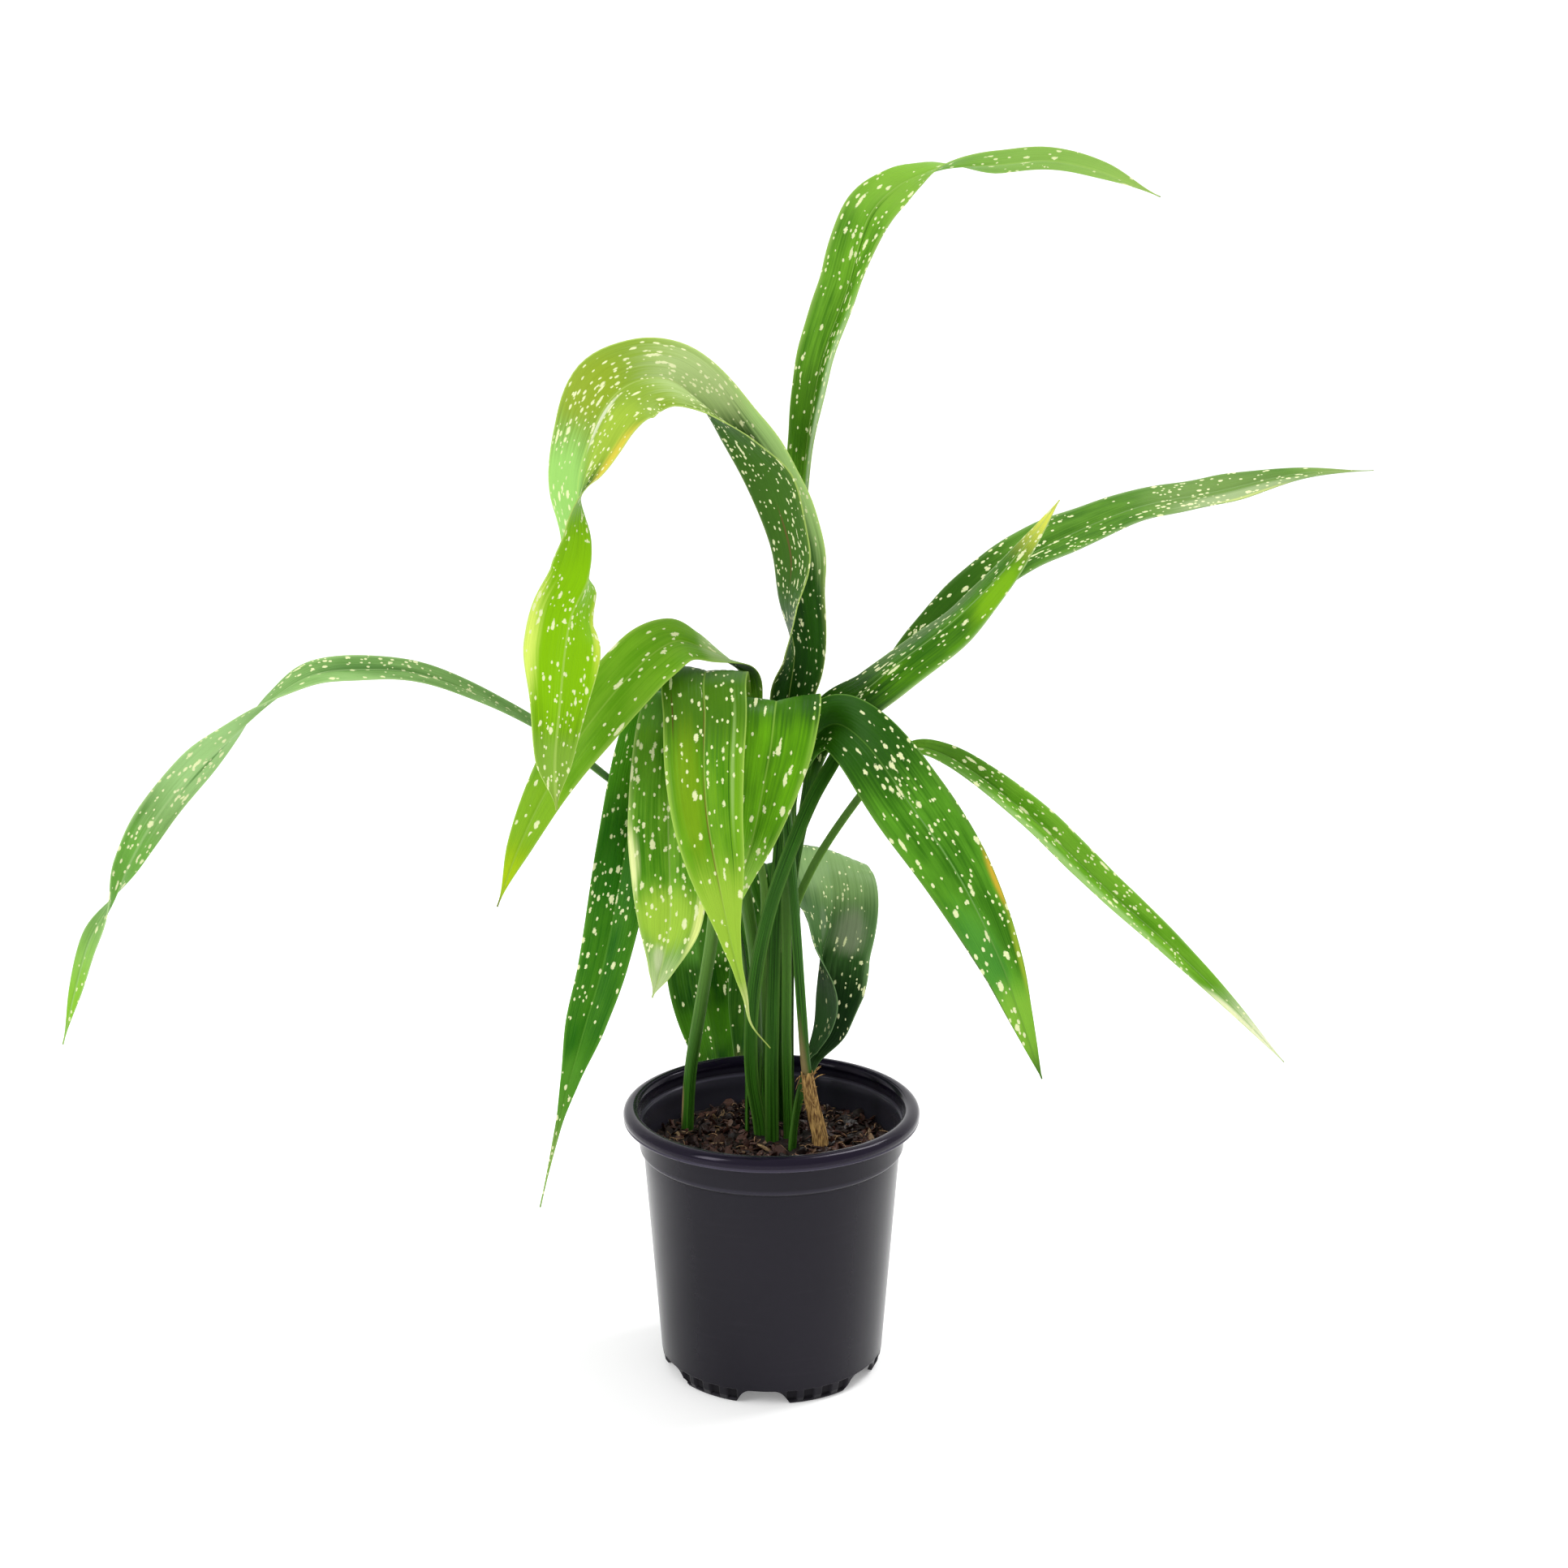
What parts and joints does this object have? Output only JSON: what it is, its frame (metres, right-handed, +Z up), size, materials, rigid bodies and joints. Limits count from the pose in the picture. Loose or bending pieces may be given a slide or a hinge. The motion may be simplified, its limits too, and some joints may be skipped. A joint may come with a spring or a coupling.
{
  "type": "potted cast iron plant",
  "caption": "Cast iron plant with long arching spotted leaves on upright stalks, rooted in soil in a round plastic nursery pot with a rolled rim and a footed base.",
  "frame": {"origin": "middle of the pot's foot ring, on the surface that the pot stands on", "axes": "+Z up along the pot's axis, -Y towards the viewer of the front, +X to the viewer's right"},
  "size_m": [0.6901, 0.2944, 0.6674],
  "materials": {
    "pot_plastic": "satin black",
    "potting_soil": "loose dark brown bark and fibre",
    "root": "dull tan, fleshy",
    "dry_sheath": "dry, frayed",
    "leaf_green": "smooth and leathery, cream spots",
    "leaf_yellow_green": "smooth and leathery, cream spots",
    "leaf_pale": "smooth and leathery, pale",
    "leaf_dark": "smooth and leathery, dark"
  },
  "bodies": {
    "root": {"pot": "pot_plastic", "soil": "potting_soil", "rhizome": "root", "dry_sheath": "dry_sheath", "leaf_tall": "leaf_green", "leaf_arch": "leaf_yellow_green", "leaf_right_high": "leaf_green", "leaf_right_mid": "leaf_green", "leaf_right_droop": "leaf_green", "leaf_right_low": "leaf_green", "leaf_left_far": "leaf_pale", "leaf_left_pale": "leaf_yellow_green", "leaf_left_dark": "leaf_green", "leaf_front_yellow": "leaf_yellow_green", "leaf_front_centre": "leaf_yellow_green", "leaf_front_right": "leaf_yellow_green", "leaf_back_right": "leaf_dark", "leaf_back_left": "leaf_dark", "leaf_back_centre": "leaf_dark"}
  },
  "joints": []
}
